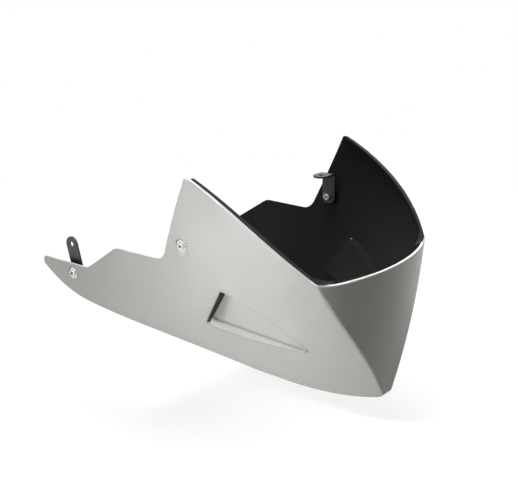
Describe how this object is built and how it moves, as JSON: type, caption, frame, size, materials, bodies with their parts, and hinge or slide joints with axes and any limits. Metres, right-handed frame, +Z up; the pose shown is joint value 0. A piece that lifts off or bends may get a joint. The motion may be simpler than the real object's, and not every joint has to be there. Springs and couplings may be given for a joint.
{
  "type": "motorcycle belly pan",
  "caption": "Silver moulded belly pan with a bowed front, a raised fin and a recessed vent on each side, open at the top and rear, bolted to steel straps.",
  "frame": {"origin": "on the middle plane, midway between the two front fixing holes, level with the tops of their straps", "axes": "+X forward along the machine, +Y to its left, +Z up along the front fixing holes"},
  "size_m": [0.5364, 0.3824, 0.326],
  "materials": {
    "panel": "silver paint, satin gloss",
    "strap": "black, satin",
    "bright_steel": "bright plated",
    "soft_spacer": "matt black"
  },
  "bodies": {
    "root": {"shell": "panel", "front_right_screw": "bright_steel", "front_right_washer": "bright_steel", "front_right_nut": "bright_steel", "front_right_spacer": "soft_spacer", "front_right_strap": "strap", "front_left_screw": "bright_steel", "front_left_washer": "bright_steel", "front_left_nut": "bright_steel", "front_left_spacer": "soft_spacer", "front_left_strap": "strap", "rear_right_screw": "bright_steel", "rear_right_washer": "bright_steel", "rear_right_nut": "bright_steel", "rear_right_spacer": "soft_spacer", "rear_right_strap": "strap", "rear_left_screw": "bright_steel", "rear_left_washer": "bright_steel", "rear_left_nut": "bright_steel", "rear_left_spacer": "soft_spacer", "rear_left_strap": "strap"}
  },
  "joints": []
}
